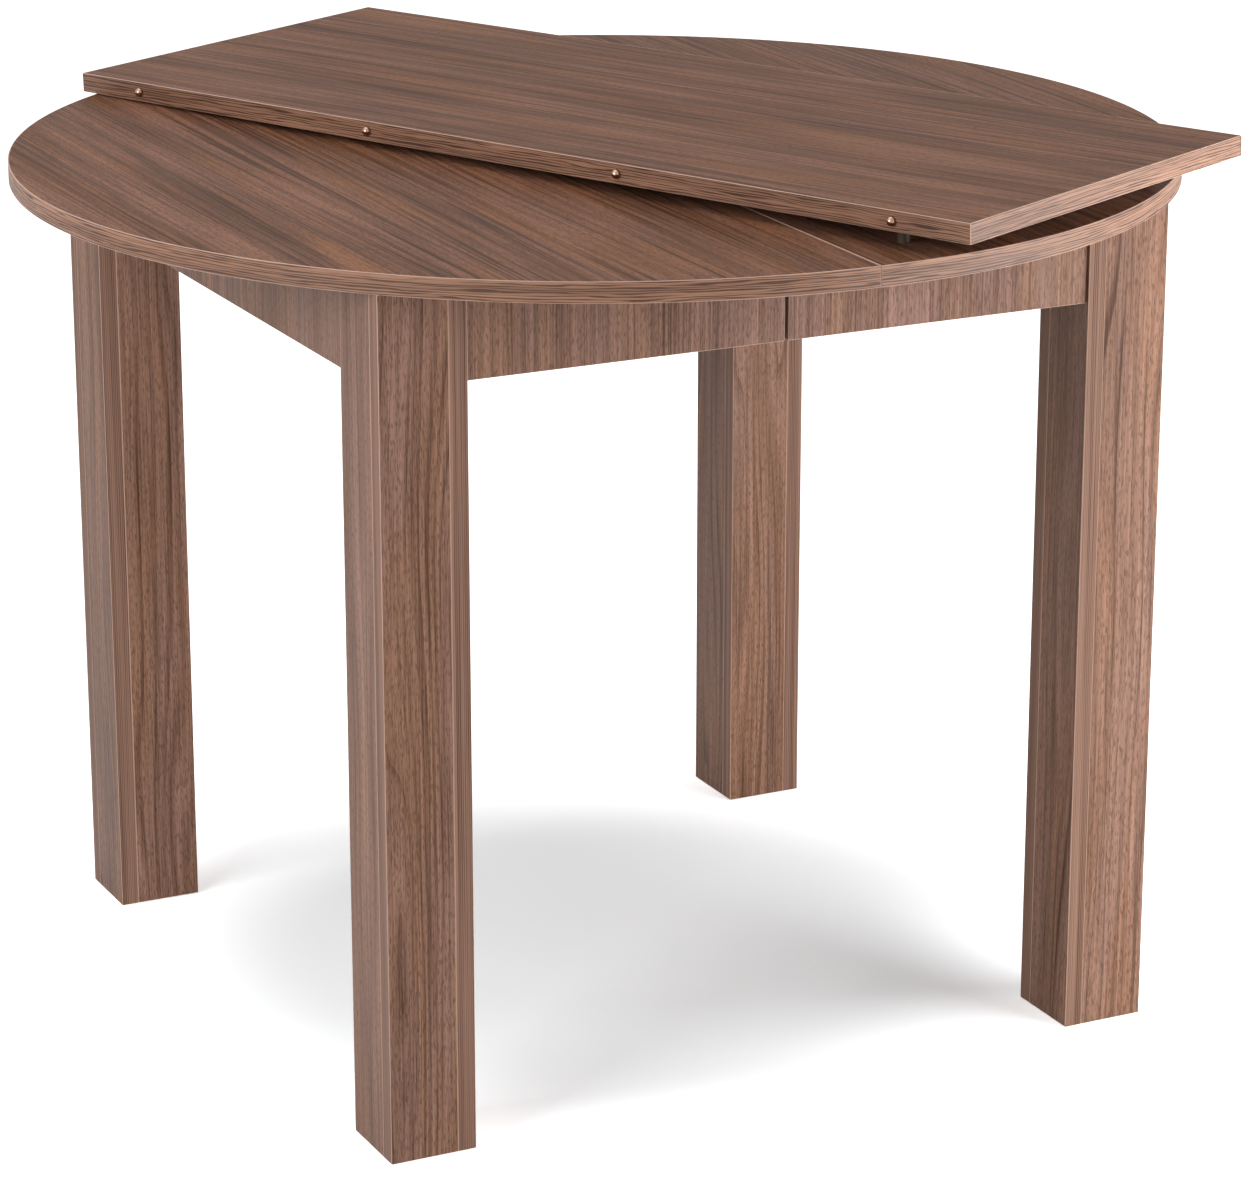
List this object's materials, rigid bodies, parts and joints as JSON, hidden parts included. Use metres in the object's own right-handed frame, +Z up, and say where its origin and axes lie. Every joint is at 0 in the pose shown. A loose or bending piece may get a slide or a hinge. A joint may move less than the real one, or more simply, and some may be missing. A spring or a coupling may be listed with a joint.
{
  "type": "round extending dining table",
  "caption": "Round dining table on square box legs whose top and frame split across the middle and pull apart on runners; a loose rectangular leaf with edge pins lies on top.",
  "frame": {"origin": "on the floor, under the middle of the closed round top", "axes": "+Z up, +X the way the right half pulls out, the seam of the top along Y"},
  "size_m": [0.9999, 1.0654, 0.7802],
  "materials": {
    "walnut_top_laminate": "satin",
    "walnut_edge_band": "satin",
    "walnut_leg_laminate": "satin",
    "walnut_apron_laminate": "satin",
    "beech": "planed",
    "zinc_steel": "zinc plated",
    "zinc_screws": "zinc plated",
    "bronzed_pins": "polished",
    "clear_silicone": "clear",
    "foot_plastic": "moulded"
  },
  "bodies": {
    "left_half": {"back_left_apron": "walnut_apron_laminate", "back_left_bearer": "beech", "back_outer_runner": "zinc_steel", "front_left_apron": "walnut_apron_laminate", "front_left_bearer": "beech", "front_outer_runner": "zinc_steel", "left_angle_screws": "zinc_screws", "left_angles": "zinc_steel", "left_bearer_screws": "zinc_screws", "left_end_apron": "walnut_apron_laminate", "left_foot_pads": "foot_plastic", "left_leg_blocks": "beech", "left_rim_band": "walnut_edge_band", "left_runner_screws": "zinc_screws", "left_seam_band": "walnut_edge_band", "left_top": "walnut_top_laminate", "leg_back_left_face": "walnut_leg_laminate", "leg_back_left_inner": "walnut_leg_laminate", "leg_back_left_outer": "walnut_leg_laminate", "leg_back_left_rear": "walnut_leg_laminate", "leg_front_left_face": "walnut_leg_laminate", "leg_front_left_inner": "walnut_leg_laminate", "leg_front_left_outer": "walnut_leg_laminate", "leg_front_left_rear": "walnut_leg_laminate"},
    "right_half": {"back_inner_runner": "zinc_steel", "back_right_apron": "walnut_apron_laminate", "back_right_bearer": "beech", "front_inner_runner": "zinc_steel", "front_right_apron": "walnut_apron_laminate", "front_right_bearer": "beech", "leg_back_right_face": "walnut_leg_laminate", "leg_back_right_inner": "walnut_leg_laminate", "leg_back_right_outer": "walnut_leg_laminate", "leg_back_right_rear": "walnut_leg_laminate", "leg_front_right_face": "walnut_leg_laminate", "leg_front_right_inner": "walnut_leg_laminate", "leg_front_right_outer": "walnut_leg_laminate", "leg_front_right_rear": "walnut_leg_laminate", "right_angle_screws": "zinc_screws", "right_angles": "zinc_steel", "right_bearer_screws": "zinc_screws", "right_end_apron": "walnut_apron_laminate", "right_foot_pads": "foot_plastic", "right_leg_blocks": "beech", "right_rim_band": "walnut_edge_band", "right_runner_screws": "zinc_screws", "right_seam_band": "walnut_edge_band", "right_top": "walnut_top_laminate", "seam_pins": "bronzed_pins"},
    "front_middle_runner": {"front_middle_runner": "zinc_steel"},
    "back_middle_runner": {"back_middle_runner": "zinc_steel"},
    "leaf": {"leaf_board": "walnut_top_laminate", "leaf_end_bands": "walnut_edge_band", "leaf_far_band": "walnut_edge_band", "leaf_near_band": "walnut_edge_band", "leaf_pins": "bronzed_pins", "leaf_spacers": "clear_silicone"}
  },
  "joints": [
    {"name": "pull_out", "type": "slide", "parent": "left_half", "child": "right_half", "axis": [1, 0, 0], "range_m": [0, 0.38]},
    {"name": "front_runner_follow", "type": "slide", "parent": "left_half", "child": "front_middle_runner", "axis": [1, 0, 0], "range_m": [0, 0.19]},
    {"name": "back_runner_follow", "type": "slide", "parent": "left_half", "child": "back_middle_runner", "axis": [1, 0, 0], "range_m": [0, 0.19]},
    {"name": "leaf_lift_off", "type": "slide", "parent": "left_half", "child": "leaf", "axis": [0, 0, 1], "range_m": [0, 0.25]}
  ],
  "couplings": [
    {"joint": "front_runner_follow", "follows": "pull_out", "ratio": 0.5},
    {"joint": "back_runner_follow", "follows": "pull_out", "ratio": 0.5}
  ]
}
